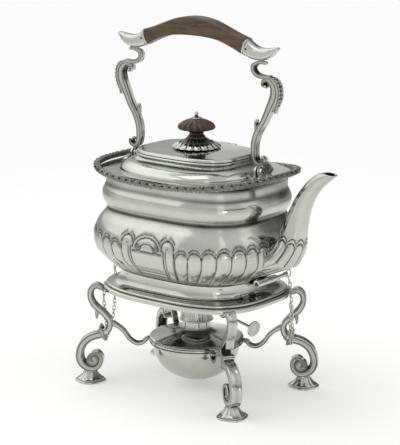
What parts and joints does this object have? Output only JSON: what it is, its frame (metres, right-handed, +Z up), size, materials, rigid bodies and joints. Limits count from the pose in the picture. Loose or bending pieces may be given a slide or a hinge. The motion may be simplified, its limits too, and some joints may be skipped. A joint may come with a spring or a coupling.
{
  "type": "spirit kettle on stand",
  "caption": "Cushion-shaped silver spirit kettle with hinged lid and wooden swing handle, pinned to a scroll-legged stand that carries a spirit lamp.",
  "frame": {"origin": "The point on the table midway between the four feet, on the spirit lamp's upright axis.", "axes": "+Z up from the table through the lamp's axis; +X towards the spout; +Y towards the lid's hinge, away from the side that the picture shows."},
  "size_m": [0.247, 0.1424, 0.3391],
  "materials": {
    "silver": "polished silver, darkened in the recesses",
    "rosewood": "smooth dark red-brown wood, waxed",
    "steel_pin": "dark dull metal",
    "cotton_wick": "plain cotton wick"
  },
  "bodies": {
    "stand_and_kettle": {"kettle_body": "silver", "kettle_shoulder": "silver", "rim_border": "silver", "spout": "silver", "lid_bezel": "silver", "lid_hinge_leaf": "silver", "lid_hinge_pin": "silver", "left_handle_lug": "silver", "right_handle_lug": "silver", "left_handle_pivot": "silver", "right_handle_pivot": "silver", "left_kettle_knuckle": "silver", "right_kettle_knuckle": "silver", "stand_plate": "silver", "left_stand_knuckles": "silver", "right_stand_knuckles": "silver", "front_right_leg": "silver", "front_left_leg": "silver", "back_right_leg": "silver", "back_left_leg": "silver", "front_right_foot": "silver", "front_left_foot": "silver", "back_right_foot": "silver", "back_left_foot": "silver", "front_right_stretcher": "silver", "front_left_stretcher": "silver", "back_right_stretcher": "silver", "back_left_stretcher": "silver", "lamp_ring": "silver", "left_chain": "silver", "right_chain": "silver", "chain_eyes": "silver"},
    "lid_assembly": {"lid": "silver", "lid_hinge_tab": "silver", "knob_calyx": "silver", "knob": "rosewood", "knob_finial": "silver"},
    "handle": {"left_handle_arm": "silver", "right_handle_arm": "silver", "left_ferrule": "silver", "right_ferrule": "silver", "handle_grip": "rosewood", "grip_pins": "steel_pin"},
    "left_pin": {"left_lock_pin": "silver"},
    "right_pin": {"right_lock_pin": "silver"},
    "lamp": {"lamp_bowl": "silver", "lamp_cover": "silver", "wick_tube": "silver", "wick": "cotton_wick"},
    "regulator": {"regulator_sleeve": "silver", "regulator_stem": "silver", "thumb_disc": "silver"}
  },
  "joints": [
    {"name": "lid_hinge", "type": "hinge", "parent": "stand_and_kettle", "child": "lid_assembly", "pos_m": [0, 0.0441, 0.2173], "axis": [-1, 0, 0], "range_deg": [0, 95]},
    {"name": "handle_swing", "type": "hinge", "parent": "stand_and_kettle", "child": "handle", "pos_m": [0, 0, 0.2087], "axis": [1, 0, 0], "range_deg": [-75, 75]},
    {"name": "left_pin_draw", "type": "slide", "parent": "stand_and_kettle", "child": "left_pin", "axis": [0, -1, 0], "range_m": [0, 0.045], "deforming": ["left_chain"]},
    {"name": "right_pin_draw", "type": "slide", "parent": "stand_and_kettle", "child": "right_pin", "axis": [0, 1, 0], "range_m": [0, 0.03], "deforming": ["right_chain"]},
    {"name": "lamp_lift", "type": "slide", "parent": "stand_and_kettle", "child": "lamp", "axis": [0, 0, 1], "range_m": [0, 0.01]},
    {"name": "regulator_turn", "type": "hinge", "parent": "lamp", "child": "regulator", "pos_m": [0, 0, 0.0698], "axis": [0, 0, 1], "range_deg": [-12, 30]}
  ]
}
